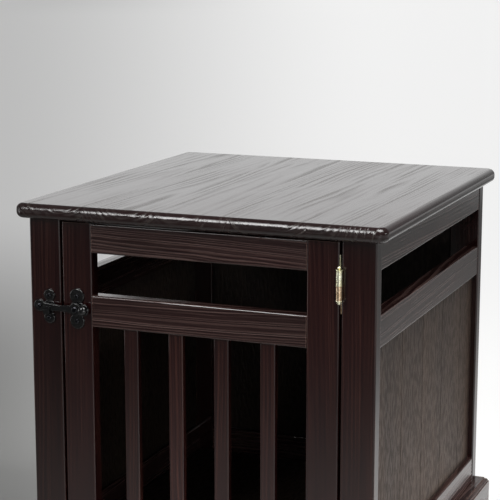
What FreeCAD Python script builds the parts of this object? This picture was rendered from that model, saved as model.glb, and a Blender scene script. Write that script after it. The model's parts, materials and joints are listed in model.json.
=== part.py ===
import FreeCAD, Part
import math
import os
import re
import Sketcher

# A pet crate that doubles as an end table: a tenoned pine frame with grooved plywood panels, a slatted door
# on lift-off pin hinges, an iron drop latch and a moulded base. Millimetres, +Z up, front towards -Y,
# origin on the floor under the middle of the base.

# Driving dimensions: every one is a cell of the sheet.
SIZES = {
    # frame of posts and rails
    "frame_width": 460,
    "frame_depth": 500,
    "post_height": 521,
    "post_width": 43,
    "board_thick": 19,
    "edge_round": 2,
    "top_rail_height": 37.5,
    "vent_height": 54,
    "mid_rail_height": 40.5,
    "bottom_rail_height": 60,
    "bottom_rail_show": 37.5,
    "rail_setback": 1,
    # stub tenons, with room for glue round them
    "tenon_thick": 9,
    "tenon_length": 10,
    "tenon_shoulder": 9,
    "tenon_clear": 0.15,
    # grooved plywood panels and the channels that hold them
    "panel_thick": 5,
    "panel_recess": 8,
    "panel_channel": 8,
    "panel_clear": 0.2,
    "panel_end_clear": 1.5,
    "vee_width": 2.2,
    "vee_depth": 1.1,
    "vee_pitch": 94,
    "vee_first": 45,
    # top board
    "top_thick": 19,
    "top_overhang": 15,
    "top_edge_round": 8,
    "top_corner_round": 13,
    # corner blocks under the top, and their screws
    "block_width": 22,
    "block_height": 24,
    "block_length": 60,
    "block_screw_spacing": 32,
    "block_screw_grip": 11,
    "block_screw_radius": 2,
    "block_head_radius": 4,
    "block_head_height": 2.2,
    # moulded base boards
    "base_height": 75,
    "base_thick": 17,
    "base_lip": 1.5,
    "base_ovolo": 4,
    "base_quirk": 0.6,
    "base_step": 2,
    # floor and what carries it
    "floor_thick": 9,
    "floor_clear": 1,
    "cleat_side": 18,
    "cleat_gap": 2,
    # door
    "door_gap": 3,
    "stile_width": 41,
    "door_foot_height": 40,
    "door_tenon_length": 22,
    "slat_width": 20,
    "slat_thick": 10,
    "slat_seat": 8,
    "slat_clear": 0.15,
    "stop_width": 26,
    "stop_thick": 12,
    "stop_clear": 0.5,
    # lift-off hinges
    "hinge_inset": 50.5,
    "hinge_proud": 5,
    "barrel_radius": 3.9,
    "barrel_height": 17.5,
    "leaf_height": 35.5,
    "leaf_thick": 1.2,
    "leaf_reach": 14,
    "leaf_setback": 0.6,
    "leaf_corner": 3,
    "pin_radius": 2,
    "pin_reach": 14,
    "pin_fit": 0.05,
    "washer_thick": 0.8,
    "collar_radius": 4.5,
    "collar_height": 1.2,
    "ball_radius": 2.5,
    "ball_neck": 0.6,
    "hinge_play": 0.05,
    # hinge screws
    "hinge_screw_edge": 10,
    "hinge_screw_spacing": 16,
    "hinge_screw_radius": 1.5,
    "hinge_screw_head": 2.7,
    "hinge_screw_length": 14,
    "screw_clear": 0.1,
    # latch plates
    "latch_rise": 2,
    "keeper_inset": 16,
    "plate_thick": 2.5,
    "plate_round": 1.4,
    "keeper_hub": 8.5,
    "keeper_lobe": 7.8,
    "keeper_reach": 14.4,
    "latch_hub": 10,
    "latch_lobe": 10,
    "latch_reach": 16,
    "latch_boss": 6,
    "latch_boss_height": 2.6,
    # latch lever
    "lever_gap": 0.3,
    "lever_thick": 3,
    "lever_hub": 8,
    "lever_round": 0.7,
    "bar_end_height": 11,
    "bar_waist_height": 7,
    "bar_waist_round": 30,
    "bar_past": 5,
    "thumb_reach": 11.5,
    "thumb_radius": 7.5,
    "knob_radius": 6.4,
    "knob_height": 6,
    "knob_round": 5,
    # hook that the bar drops into
    "hook_width": 9,
    "hook_floor": 2.5,
    "hook_lip": 2.2,
    "hook_lip_height": 6.5,
    "hook_clear": 0.4,
    # latch pivot and screws
    "pivot_radius": 2.5,
    "pivot_fit": 0.06,
    "pivot_head": 4.2,
    "pivot_head_height": 2,
    "dome_head": 3.2,
    "dome_head_height": 1.9,
    "dome_radius": 1.4,
    "dome_length": 8,
    # screw holes are this much deeper than their screws
    "pilot_spare": 1,
    # cuts run this far past what they cut
    "overrun": 5,
}

# Counts, which are not lengths.
SIDE_VEES = 5
BACK_VEES = 3
SLATS = 4
# How much of a screw head's height its dome takes up.
DOME_SHARE = 0.9
# How closely an edge has to follow an axis, and how closely a plane, to count as along it.
ANGLE_SLACK = 1e-6
PLANE_SLACK = 1e-4

# Sizes and places that follow from the cells.
DERIVED = {
    "half_width": "frame_width / 2",
    "half_depth": "frame_depth / 2",
    "side_run": "frame_depth - 2 * board_thick",
    "back_run": "frame_width - 2 * post_width",
    "rail_inset": "rail_setback + board_thick / 2",
    "panel_inset": "rail_setback + panel_recess + panel_thick / 2",
    "inner_width": "frame_width - 2 * (rail_setback + board_thick)",
    "side_top": "post_height - top_rail_height / 2",
    "side_mid": "post_height - top_rail_height - vent_height - mid_rail_height / 2",
    "side_bottom": "base_height + bottom_rail_show - bottom_rail_height / 2",
    "panel_top": "side_mid - mid_rail_height / 2",
    "panel_foot": "base_height + bottom_rail_show",
    "panel_middle": "(panel_top + panel_foot) / 2",
    "panel_open": "panel_top - panel_foot",
    "back_top": "post_height - top_rail_height",
    "back_middle": "(back_top + panel_foot) / 2",
    "back_open": "back_top - panel_foot",
    "panel_seat": "panel_channel - panel_end_clear",
    "channel_width": "panel_thick + 2 * panel_clear",
    "mortise_thick": "tenon_thick + 2 * tenon_clear",
    "sill_middle": "base_height - bottom_rail_height / 2",
    "door_width": "back_run - 2 * door_gap",
    "door_thick": "board_thick - stop_clear",
    "door_foot": "base_height + door_gap",
    "door_head": "post_height - door_gap",
    "door_height": "door_head - door_foot",
    "door_middle": "(door_head + door_foot) / 2",
    "door_y": "-(half_depth - door_thick / 2)",
    "door_run": "door_width - 2 * stile_width",
    "door_top": "door_head - top_rail_height / 2",
    "door_mid": "door_head - top_rail_height - vent_height - mid_rail_height / 2",
    "door_bottom": "door_foot + door_foot_height / 2",
    "stile_x": "(door_width - stile_width) / 2",
    "slat_top": "door_mid - mid_rail_height / 2 + slat_seat",
    "slat_foot": "door_foot + door_foot_height - slat_seat",
    "hinge_x": "half_width - post_width - door_gap / 2",
    "hinge_y": "-(half_depth + hinge_proud)",
    "hinge_high": "door_head - hinge_inset",
    "hinge_low": "door_foot + hinge_inset",
    "leaf_middle": "(door_gap - leaf_thick) / 2",
    "latch_z": "door_mid + latch_rise",
    "keeper_x": "-(half_width - post_width + keeper_inset)",
    "lever_back": "plate_thick + latch_boss_height + lever_gap",
    "lever_front": "lever_back + lever_thick",
    "bar_length": "-stile_x - keeper_x + bar_past",
    "slat_pitch": f"(door_run + slat_width) / {SLATS + 1}",
}

doc = FreeCAD.newDocument("PetCrate")
sheet = doc.addObject("Spreadsheet::Sheet", "Sizes")
for row, (name, value) in enumerate(SIZES.items(), start=1):
    sheet.set(f"A{row}", name)
    sheet.set(f"B{row}", str(value))
    sheet.setAlias(f"B{row}", name)
doc.recompute()

Vector = FreeCAD.Vector
AXES = {"X": Vector(1, 0, 0), "Y": Vector(0, 1, 0), "Z": Vector(0, 0, 1)}
PLANES = {"X": "YZ_Plane", "Y": "XZ_Plane", "Z": "XY_Plane"}
nodes = []


# Binding sizes to the sheet

def spell(text):
    """Write out the derived sizes in a formula and point the rest at their cells."""
    def swap(match):
        word = match.group()
        if word in DERIVED:
            return "(" + spell(DERIVED[word]) + ")"
        return "Sizes." + word if word in SIZES else word
    return re.sub(r"[a-z_]+", swap, text)


def bind(item, prop, text):
    item.setExpression(prop, spell(text))


def place(item, centre):
    for axis, text in zip("xyz", centre):
        bind(item, f"Placement.Base.{axis}", text)


def datum(body, role):
    return next(feature for feature in body.Origin.OriginFeatures if feature.Role == role)


def new_body(label, keep=True):
    body = doc.addObject("PartDesign::Body", label)
    body.Label = label
    if keep:
        nodes.append(body)
    return body


# Sketches

def sketch(body, normal, shift="0"):
    """An empty sketch square to one axis, shifted along that axis."""
    drawing = body.newObject("Sketcher::SketchObject", "Sketch")
    drawing.AttachmentSupport = [(datum(body, PLANES[normal]), "")]
    drawing.MapMode = "FlatFace"
    bind(drawing, "AttachmentOffset.Base.z", f"-({shift})" if normal == "Y" else shift)
    return drawing


def measure(drawing, kind, ends, text):
    number = drawing.addConstraint(Sketcher.Constraint(kind, *ends, 1.0))
    drawing.renameConstraint(number, f"size_{number}")
    bind(drawing, f"Constraints.size_{number}", text)


def pin_point(drawing, edge, end, point):
    """Hold one end of an edge (3 is a centre) at a point given by two formulas."""
    measure(drawing, "DistanceX", (-1, 1, edge, end), point[0])
    measure(drawing, "DistanceY", (-1, 1, edge, end), point[1])


def polygon(drawing, points):
    """A closed outline of straight edges."""
    first = drawing.GeometryCount
    count = len(points)
    turns = [2 * math.pi * step / count for step in range(count)]
    ring = [Vector(math.cos(turn), math.sin(turn), 0) for turn in turns]
    for step in range(count):
        drawing.addGeometry(Part.LineSegment(ring[step], ring[(step + 1) % count]), False)
    for step in range(count):
        following = first + (step + 1) % count
        drawing.addConstraint(Sketcher.Constraint("Coincident", first + step, 2, following, 1))
    for step, point in enumerate(points):
        pin_point(drawing, first + step, 1, point)


def rectangle(drawing, centre, across):
    low = [f"{middle} - ({size}) / 2" for middle, size in zip(centre, across)]
    high = [f"{middle} + ({size}) / 2" for middle, size in zip(centre, across)]
    polygon(drawing, [(low[0], low[1]), (high[0], low[1]), (high[0], high[1]), (low[0], high[1])])


def circle(drawing, centre, radius):
    number = drawing.addGeometry(Part.Circle(Vector(), AXES["Z"], 1), False)
    pin_point(drawing, number, 3, centre)
    measure(drawing, "Radius", (number,), radius)


# Features

def pad(body, drawing, length):
    """Raise a sketch evenly to both sides of its plane."""
    feature = body.newObject("PartDesign::Pad", "Pad")
    feature.Profile = drawing
    feature.SideType = "Symmetric"
    bind(feature, "Length", length)
    doc.recompute()
    return feature


def pocket(body, drawing, depth, reverse=False, both_sides=False):
    """Cut a sketch into the body, and make sure that it cut something."""
    before = body.Shape.Volume
    feature = body.newObject("PartDesign::Pocket", "Pocket")
    feature.Profile = drawing
    feature.Reversed = reverse
    if both_sides:
        feature.SideType = "Symmetric"
    bind(feature, "Length", depth)
    doc.recompute()
    if not feature.Shape.Volume < before:
        raise RuntimeError(f"a pocket of {body.Label} cuts nothing")
    return feature


def cut_from_face(body, normal, face, side, outlines, depth):
    """Pocket a face that looks along +side or -side of an axis, down towards the middle of the body."""
    drawing = sketch(body, normal, f"{side} * ({face})")
    for outline, centre, across in outlines:
        outline(drawing, centre, across)
    return pocket(body, drawing, depth, reverse=(side < 0) != (normal == "Y"))


def round_edges(body, base, edges, radius):
    feature = body.newObject("PartDesign::Fillet", "Fillet")
    feature.Base = (base, edges)
    bind(feature, "Radius", radius)
    doc.recompute()
    return feature


def edges_where(shape, *tests):
    """The names of the edges that pass every test."""
    numbered = enumerate(shape.Edges, start=1)
    return [f"Edge{number}" for number, edge in numbered if all(test(edge) for test in tests)]


def is_round(edge):
    return isinstance(edge.Curve, Part.Circle)


def runs_along(axis):
    """A test for straight edges that follow an axis."""
    def test(edge):
        return isinstance(edge.Curve, Part.Line) and edge.Curve.Direction.isParallel(AXES[axis], ANGLE_SLACK)
    return test


def lies_at(axis, level):
    """A test for edges that lie in one plane square to an axis."""
    def test(edge):
        ends = [getattr(edge.BoundBox, axis + end) for end in ("Min", "Max")]
        return all(math.isclose(end, level, abs_tol=PLANE_SLACK) for end in ends)
    return test


def row_of(body, feature, axis, length, count):
    """Repeat a feature in a straight row."""
    pattern = body.newObject("PartDesign::LinearPattern", "Row")
    pattern.Originals = [feature]
    pattern.Direction = (datum(body, f"{axis}_Axis"), [""])
    bind(pattern, "Length", length)
    pattern.Occurrences = count
    body.Tip = pattern
    doc.recompute()
    return pattern


def group(label, master, places, facing):
    """Copies of one piece as a single node, each turned so that its own +Z looks along facing."""
    links = []
    for centre in places:
        link = doc.addObject("App::Link", label + "_copy")
        link.LinkedObject = master
        link.LinkTransform = False
        link.Placement = FreeCAD.Placement(Vector(), FreeCAD.Rotation(AXES["Z"], facing))
        place(link, centre)
        links.append(link)
    compound = doc.addObject("Part::Compound", label)
    compound.Label = label
    compound.Links = links
    nodes.append(compound)


# Boards

def board(label, run, section, length, centre, rounding="edge_round", keep=True):
    """One planed board with its four long edges eased. The section is given in the order X, Y, Z."""
    body = new_body(label, keep)
    drawing = sketch(body, run)
    rectangle(drawing, ("0", "0"), section)
    plank = pad(body, drawing, length)
    if rounding:
        round_edges(body, plank, edges_where(plank.Shape, runs_along(run)), rounding)
    place(body, centre)
    return body


def add_tenons(body, run, height, length, reach):
    """A tongue through the board's middle that stands out of both ends."""
    drawing = sketch(body, run)
    rectangle(drawing, ("0", "0"), ("tenon_thick", f"{height} - 2 * tenon_shoulder"))
    pad(body, drawing, f"{length} + 2 * {reach}")


def mortise(across, along, height):
    """The outline of the slot that one rail's tenon goes into."""
    return rectangle, (across, along), ("mortise_thick", f"{height} - 2 * (tenon_shoulder - tenon_clear)")


SIDE_RAILS = {
    "top": ("side_top", "top_rail_height"),
    "mid": ("side_mid", "mid_rail_height"),
    "bottom": ("side_bottom", "bottom_rail_height"),
}
BACK_RAILS = {part: SIDE_RAILS[part] for part in ("top", "bottom")}
# Which edge of a rail holds a panel: its upper edge (1) or its lower edge (-1).
SIDE_CHANNELS = {"mid": -1, "bottom": 1}
BACK_CHANNELS = {"top": -1, "bottom": 1}
DOOR_RAILS = {
    "top": ("door_top", "top_rail_height"),
    "mid": ("door_mid", "mid_rail_height"),
    "bottom": ("door_bottom", "door_foot_height"),
}
SIDES = {"left": -1, "right": 1}
ROWS = {"front": -1, "rear": 1}


def hinge_screw_heights(joint, up):
    """Where one leaf's two screws sit, above or below the joint between the knuckles."""
    near = f"({joint}) + {up} * hinge_screw_edge"
    return near, f"{near} + {up} * hinge_screw_spacing"


def hinge_pilot_holes(body, face, side, depth_centre, height_centre, up):
    """Holes for one leaf pair's screws, on the edge of the post or of the stile."""
    outlines = []
    depth = f"hinge_y + hinge_proud + leaf_reach / 2 - ({depth_centre})"
    for joint in ("hinge_high", "hinge_low"):
        for height in hinge_screw_heights(joint, up):
            spot = (depth, f"{height} - ({height_centre})")
            outlines.append((circle, spot, "hinge_screw_radius + screw_clear"))
    cut_from_face(body, "X", face, side, outlines, "hinge_screw_length")


KEEPER_LOBES = [("0", "keeper_reach"), ("-keeper_reach", "0"), ("0", "-keeper_reach")]
LATCH_LOBES = [("0", "latch_reach"), ("0", "-latch_reach")]


def latch_pilot_holes(body, face, x_shift, z_shift, lobes):
    """Holes for the domed latch screws in a front face."""
    outlines = []
    for across, up in lobes:
        spot = (f"{x_shift} + ({across})", f"{z_shift} + ({up})")
        outlines.append((circle, spot, "dome_radius + screw_clear"))
    cut_from_face(body, "Y", face, -1, outlines, "dome_length")


# Frame

def make_posts():
    for row_name, row in ROWS.items():
        for side_name, side in SIDES.items():
            x = f"{side} * (half_width - post_width / 2)"
            y = f"{row} * (half_depth - board_thick / 2)"
            middle = "post_height / 2"
            label = f"{row_name}_{side_name}_post"
            body = board(label, "Z", ("post_width", "board_thick"), "post_height", (x, y, middle))
            rail_x = f"{side} * (post_width / 2 - rail_inset)"
            slots = [mortise(rail_x, f"{z} - {middle}", tall) for z, tall in SIDE_RAILS.values()]
            cut_from_face(body, "Y", "board_thick / 2", -row, slots, "tenon_length + tenon_clear")
            panel_x = f"{side} * (post_width / 2 - panel_inset)"
            panel_z = f"panel_middle - {middle}"
            channel = ("channel_width", "panel_open + 2 * panel_channel")
            groove = [(rectangle, (panel_x, panel_z), channel)]
            cut_from_face(body, "Y", "board_thick / 2", -row, groove, "panel_channel")
            if row > 0:
                slots = [mortise("-rail_setback", f"{z} - {middle}", tall) for z, tall in BACK_RAILS.values()]
                back = ("board_thick / 2 - panel_inset", f"back_middle - {middle}")
                groove = [(rectangle, back, ("channel_width", "back_open + 2 * panel_channel"))]
                cut_from_face(body, "X", "post_width / 2", -side, groove, "panel_channel")
            else:
                slots = [mortise("0", f"sill_middle - {middle}", "bottom_rail_height")]
            cut_from_face(body, "X", "post_width / 2", -side, slots, "tenon_length + tenon_clear")
            if row < 0 and side > 0:
                hinge_pilot_holes(body, "post_width / 2", -1, y, middle, -1)
            if row < 0 and side < 0:
                keeper = (f"keeper_x - ({x})", f"latch_z - {middle}")
                latch_pilot_holes(body, "board_thick / 2", *keeper, KEEPER_LOBES)


def cut_channel(body, run, across, height, side, length):
    """A groove for the panel along the upper (+1) or lower (-1) edge of a rail."""
    wide = ("channel_width", f"{length} + overrun")
    centre = (across, "0")
    if run == "X":
        wide = wide[::-1]
        centre = centre[::-1]
    cut_from_face(body, "Z", f"{height} / 2", side, [(rectangle, centre, wide)], "panel_channel")


def make_rail(label, run, height, out, centre, length, channel):
    """A frame rail: out is the direction, along its own thickness, that faces away from the crate."""
    body = board(label, run, ("board_thick", height), length, centre)
    add_tenons(body, run, height, length, "tenon_length")
    if channel:
        across = f"{out} * (board_thick / 2 + rail_setback - panel_inset)"
        cut_channel(body, run, across, height, channel, length)


def make_frame_rails():
    for part, (z, height) in SIDE_RAILS.items():
        for side_name, side in SIDES.items():
            centre = (f"{side} * (half_width - rail_inset)", "0", z)
            channel = SIDE_CHANNELS.get(part)
            make_rail(f"{side_name}_{part}_rail", "Y", height, side, centre, "side_run", channel)
    for part, (z, height) in BACK_RAILS.items():
        centre = ("0", "half_depth - rail_inset", z)
        make_rail(f"back_{part}_rail", "X", height, 1, centre, "back_run", BACK_CHANNELS[part])
    sill = board("front_sill", "X", ("board_thick", "bottom_rail_height"), "back_run",
                 ("0", "-(half_depth - board_thick / 2)", "sill_middle"))
    add_tenons(sill, "X", "bottom_rail_height", "back_run", "tenon_length")


def make_panel(label, out, section, tall, run, vees, first, centre):
    """Thin plywood scored with upright V grooves. It runs along Y at the sides and along X at the back."""
    body = new_body(label)
    drawing = sketch(body, "Z")
    rectangle(drawing, ("0", "0"), section)
    pad(body, drawing, f"{tall} + 2 * panel_seat")
    floor = f"{out} * (panel_thick / 2 - vee_depth)"
    beyond = f"{out} * (panel_thick / 2 + vee_depth)"
    notch = [(floor, first), (beyond, f"{first} + vee_width"), (beyond, f"{first} - vee_width")]
    drawing = sketch(body, "Z")
    polygon(drawing, notch if run == "Y" else [point[::-1] for point in notch])
    vee = pocket(body, drawing, f"{tall} + 2 * panel_seat + overrun", both_sides=True)
    row_of(body, vee, run, f"vee_pitch * {vees - 1}", vees)
    place(body, centre)


def make_panels():
    for side_name, side in SIDES.items():
        section = ("panel_thick", "side_run + 2 * panel_seat")
        centre = (f"{side} * (half_width - panel_inset)", "0", "panel_middle")
        make_panel(f"{side_name}_panel", side, section, "panel_open", "Y", SIDE_VEES, "vee_first - half_depth",
                   centre)
    section = ("back_run + 2 * panel_seat", "panel_thick")
    make_panel("back_panel", 1, section, "back_open", "X", BACK_VEES, f"-vee_pitch * {BACK_VEES - 1} / 2",
               ("0", "half_depth - panel_inset", "back_middle"))


# Top, and the blocks that it is screwed to from below

def block_places():
    x = "(half_width - rail_setback - board_thick - block_width / 2)"
    y = "(half_depth - board_thick - block_length / 2)"
    return [(f"{side} * {x}", f"{row} * {y}") for side in SIDES.values() for row in ROWS.values()]


def block_screw_places():
    spots = []
    for x, y in block_places():
        for end in (-1, 1):
            spots.append((x, f"{y} + {end} * block_screw_spacing / 2"))
    return spots


def make_top():
    body = new_body("top_board")
    drawing = sketch(body, "Z")
    rectangle(drawing, ("0", "0"), ("frame_width + 2 * top_overhang", "frame_depth + 2 * top_overhang"))
    slab = pad(body, drawing, "top_thick")
    slab = round_edges(body, slab, edges_where(slab.Shape, runs_along("Z")), "top_corner_round")
    half = sheet.top_thick / 2
    rims = edges_where(slab.Shape, lies_at("Z", half)) + edges_where(slab.Shape, lies_at("Z", -half))
    round_edges(body, slab, rims, "top_edge_round")
    pilots = [(circle, spot, "block_screw_radius + screw_clear") for spot in block_screw_places()]
    cut_from_face(body, "Z", "top_thick / 2", -1, pilots, "block_screw_grip + screw_clear")
    place(body, ("0", "0", "post_height + top_thick / 2"))


def make_corner_blocks():
    section = ("block_width", "block_height")
    block = board("corner_block", "Y", section, "block_length", ("0", "0", "0"), keep=False)
    drawing = sketch(block, "Z")
    for end in (-1, 1):
        circle(drawing, ("0", f"{end} * block_screw_spacing / 2"), "block_screw_radius + screw_clear")
    pocket(block, drawing, "block_height + overrun", both_sides=True)
    spots = [(x, y, "post_height - block_height / 2") for x, y in block_places()]
    group("corner_blocks", block, spots, AXES["Z"])
    screw = dome_screw("corner_block_screw", "block_head_radius", "block_head_height", "block_screw_radius",
                       "block_height + block_screw_grip")
    spots = [(x, y, "post_height - block_height") for x, y in block_screw_places()]
    group("corner_block_screws", screw, spots, -AXES["Z"])


def turned(body, points):
    """A piece turned on a lathe about its own Z axis, from half of its section in X and Z."""
    drawing = sketch(body, "Y")
    polygon(drawing, points)
    feature = body.newObject("PartDesign::Revolution", "Turned")
    feature.Profile = drawing
    feature.ReferenceAxis = (datum(body, "Z_Axis"), [""])
    doc.recompute()
    return feature


def dome_screw(label, head, head_height, shank, length):
    """A round-headed screw or rivet: its head is domed along +Z and its shank runs down from the origin."""
    body = new_body(label, keep=False)
    foot = f"-({length})"
    blank = turned(body, [("0", foot), (shank, foot), (shank, "0"), (head, "0"), (head, head_height),
                          ("0", head_height)])
    rim = edges_where(blank.Shape, lies_at("Z", blank.Shape.BoundBox.ZMax), is_round)
    round_edges(body, blank, rim, f"{head_height} * {DOME_SHARE}")
    return body


# Base

def make_base_board(label, turn, run, centre):
    """A base board with a stepped ovolo on its upper edge and mitred ends; it faces its own +X."""
    body = new_body(label)
    drawing = sketch(body, "Y")
    nose = "base_thick - base_lip"
    inner = f"{nose} - base_ovolo - base_quirk"
    shelf = "base_height - base_step"
    shoulder = f"{shelf} - base_ovolo - base_quirk"
    polygon(drawing, [("0", "0"), ("base_thick", "0"), ("base_thick", shoulder), (nose, shoulder),
                      (nose, shelf), (inner, shelf), (inner, "base_height"), ("0", "base_height")])
    moulding = pad(body, drawing, f"{run} + 2 * base_thick")
    at_nose = lies_at("X", sheet.base_thick - sheet.base_lip)
    at_shelf = lies_at("Z", sheet.base_height - sheet.base_step)
    round_edges(body, moulding, edges_where(moulding.Shape, at_nose, at_shelf), "base_ovolo")
    mitres = sketch(body, "Z")
    for end in (-1, 1):
        start = f"{end} * ({run} / 2 - overrun)"
        beyond = f"{end} * ({run} / 2 + base_thick + overrun)"
        polygon(mitres, [("-overrun", start), ("base_thick + overrun", beyond), ("-overrun", beyond)])
    pocket(body, mitres, "2 * base_height + overrun", both_sides=True)
    body.Placement = FreeCAD.Placement(Vector(), FreeCAD.Rotation(AXES["Z"], turn))
    place(body, centre)


def make_base():
    make_base_board("right_base_board", 0, "frame_depth", ("half_width", "0", "0"))
    make_base_board("rear_base_board", 90, "frame_width", ("0", "half_depth", "0"))
    make_base_board("left_base_board", 180, "frame_depth", ("-half_width", "0", "0"))
    make_base_board("front_base_board", 270, "frame_width", ("0", "-half_depth", "0"))


def make_floor():
    section = ("inner_width - 2 * floor_clear", "side_run - 2 * (rail_setback + floor_clear)")
    centre = ("0", "0", "base_height - floor_thick / 2")
    board("floor_panel", "Z", section, "floor_thick", centre, rounding=None)
    z ="base_height - floor_thick - cleat_side / 2"
    square = ("cleat_side", "cleat_side")
    for side_name, side in SIDES.items():
        x = f"{side} * (inner_width - cleat_side) / 2"
        board(f"{side_name}_floor_cleat", "Y", square, "side_run - 2 * (cleat_side + cleat_gap)", (x, "0", z))
    front = "-(side_run - cleat_side) / 2"
    back = "(side_run - cleat_side) / 2 - rail_setback"
    for name, y in (("front", front), ("back", back)):
        board(f"{name}_floor_cleat", "X", square, "inner_width", ("0", y, z))


def make_door_stop():
    centre = ("-(half_width - post_width)", "-(side_run - stop_thick) / 2", "door_middle")
    board("door_stop", "Z", ("stop_width", "stop_thick"), "door_height - 2 * hinge_inset", centre)


# Door

def make_door():
    for name, side in (("latch", -1), ("hinge", 1)):
        centre = (f"{side} * stile_x", "door_y", "door_middle")
        body = board(f"door_{name}_stile", "Z", ("stile_width", "door_thick"), "door_height", centre)
        slots = [mortise("0", f"{z} - door_middle", tall) for z, tall in DOOR_RAILS.values()]
        cut_from_face(body, "X", "stile_width / 2", -side, slots, "door_tenon_length + tenon_clear")
        if side > 0:
            hinge_pilot_holes(body, "stile_width / 2", 1, "door_y", "door_middle", 1)
        else:
            latch_pilot_holes(body, "door_thick / 2", "0", "latch_z - door_middle", LATCH_LOBES)
    for part, (z, height) in DOOR_RAILS.items():
        body = board(f"door_{part}_rail", "X", ("door_thick", height), "door_run", ("0", "door_y", z))
        add_tenons(body, "X", height, "door_run", "door_tenon_length")
        if part != "top":
            side = -1 if part == "mid" else 1
            first = f"-slat_pitch * {SLATS - 1} / 2"
            slot = [(rectangle, (first, "0"), ("slat_width + 2 * slat_clear", "slat_thick + 2 * slat_clear"))]
            seat = cut_from_face(body, "Z", f"{height} / 2", side, slot, "slat_seat + slat_clear")
            row_of(body, seat, "X", f"slat_pitch * {SLATS - 1}", SLATS)
    for number in range(SLATS):
        x = f"slat_pitch * ({number} - {SLATS - 1} / 2)"
        board(f"door_slat_{number + 1}", "Z", ("slat_width", "slat_thick"), "slat_top - slat_foot",
              (x, "door_y", "(slat_top + slat_foot) / 2"))


# Hinges

def add_ball(body, height):
    ball = body.newObject("PartDesign::AdditiveSphere", "Ball")
    ball.AttachmentSupport = [(datum(body, "XY_Plane"), "")]
    ball.MapMode = "FlatFace"
    bind(ball, "AttachmentOffset.Base.z", height)
    bind(ball, "Radius", "ball_radius")
    doc.recompute()


def add_disc(body, radius, low, high):
    """A round length of the hinge between two heights."""
    drawing = sketch(body, "Z", f"(({low}) + ({high})) / 2")
    circle(drawing, ("0", "0"), radius)
    pad(body, drawing, f"abs(({high}) - ({low}))")


def make_leaf(label, side, up, joint):
    """Half a hinge: a leaf in the door gap and its knuckle. The door's half stands on the frame's."""
    body = new_body(label)
    gap = "washer_thick / 2 + hinge_play" if up > 0 else "washer_thick / 2"
    foot = f"{up} * ({gap})"
    head = f"{up} * ({gap} + barrel_height)"
    tip = f"{up} * leaf_height"
    front = "hinge_proud + leaf_setback"
    back = "hinge_proud + leaf_reach"
    drawing = sketch(body, "X", f"{side} * leaf_middle")
    polygon(drawing, [("0", foot), (back, foot), (back, tip), (front, tip), (front, head), ("0", head)])
    plate = pad(body, drawing, "leaf_thick")
    corners = edges_where(plate.Shape, lies_at("Y", plate.Shape.BoundBox.YMax), runs_along("X"))
    round_edges(body, plate, corners, "leaf_corner")
    add_disc(body, "barrel_radius", foot, head)
    bore = sketch(body, "Z", foot)
    circle(bore, ("0", "0"), "pin_radius + pin_fit")
    depth = "pin_reach" if up > 0 else "barrel_height + overrun"
    pocket(body, bore, depth, reverse=up > 0)
    for height in hinge_screw_heights("0", up):
        cone = body.newObject("PartDesign::SubtractiveCone", "Countersink")
        cone.AttachmentSupport = [(datum(body, "YZ_Plane"), "")]
        cone.MapMode = "FlatFace"
        bind(cone, "AttachmentOffset.Base.x", "hinge_proud + leaf_reach / 2")
        bind(cone, "AttachmentOffset.Base.y", height)
        bind(cone, "AttachmentOffset.Base.z", f"{side} * leaf_middle - leaf_thick / 2")
        wide = "hinge_screw_head + screw_clear"
        narrow = "hinge_screw_radius + screw_clear"
        bind(cone, "Radius1", narrow if side < 0 else wide)
        bind(cone, "Radius2", wide if side < 0 else narrow)
        bind(cone, "Height", "leaf_thick")
        doc.recompute()
    if up > 0:
        add_disc(body, "collar_radius", head, f"{head} + collar_height")
        add_ball(body, f"{head} + collar_height + ball_radius - ball_neck")
    place(body, ("hinge_x", "hinge_y", joint))


def make_hinge(name, joint):
    make_leaf(f"{name}_hinge_door_leaf", -1, 1, joint)
    make_leaf(f"{name}_hinge_frame_leaf", 1, -1, joint)
    foot = "-(washer_thick / 2 + barrel_height)"
    pin = new_body(f"{name}_hinge_pin")
    add_disc(pin, "pin_radius", foot, "washer_thick / 2 + pin_reach - hinge_play")
    add_disc(pin, "collar_radius", f"{foot} - collar_height", foot)
    add_ball(pin, f"{foot} - collar_height - ball_radius + ball_neck")
    place(pin, ("hinge_x", "hinge_y", joint))
    washer = new_body(f"{name}_hinge_washer")
    ring = sketch(washer, "Z")
    circle(ring, ("0", "0"), "collar_radius")
    circle(ring, ("0", "0"), "pin_radius + pin_fit")
    pad(washer, ring, "washer_thick")
    place(washer, ("hinge_x", "hinge_y", joint))


def make_hinge_screws():
    screw = new_body("hinge_screw", keep=False)
    end = "-(hinge_screw_length - pilot_spare)"
    turned(screw, [("0", "0"), ("0", end), ("hinge_screw_radius", end), ("hinge_screw_radius", "-leaf_thick"),
                   ("hinge_screw_head", "0")])
    for label, side, up in (("door_hinge_screws", -1, 1), ("frame_hinge_screws", 1, -1)):
        x = f"hinge_x + {side} * (leaf_middle - leaf_thick / 2)"
        y = "hinge_y + hinge_proud + leaf_reach / 2"
        heights = [z for joint in ("hinge_high", "hinge_low") for z in hinge_screw_heights(joint, up)]
        group(label, screw, [(x, y, z) for z in heights], -side * AXES["X"])


# Latch

def add_boss(body, centre, radius, back, front):
    """A round length of the latch between two distances in front of the wood."""
    drawing = sketch(body, "Y", f"-(({back}) + ({front})) / 2")
    circle(drawing, centre, radius)
    return pad(body, drawing, f"({front}) - ({back})")


def soften_front(body, base, radius):
    """Round the outline of a casting's foremost face."""
    round_edges(body, base, edges_where(base.Shape, lies_at("Y", base.Shape.BoundBox.YMin)), radius)


def cut_latch_holes(body, spots, radius):
    drawing = sketch(body, "Y")
    for spot in spots:
        circle(drawing, spot, radius)
    pocket(body, drawing, "2 * lever_front + overrun", both_sides=True)


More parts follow.
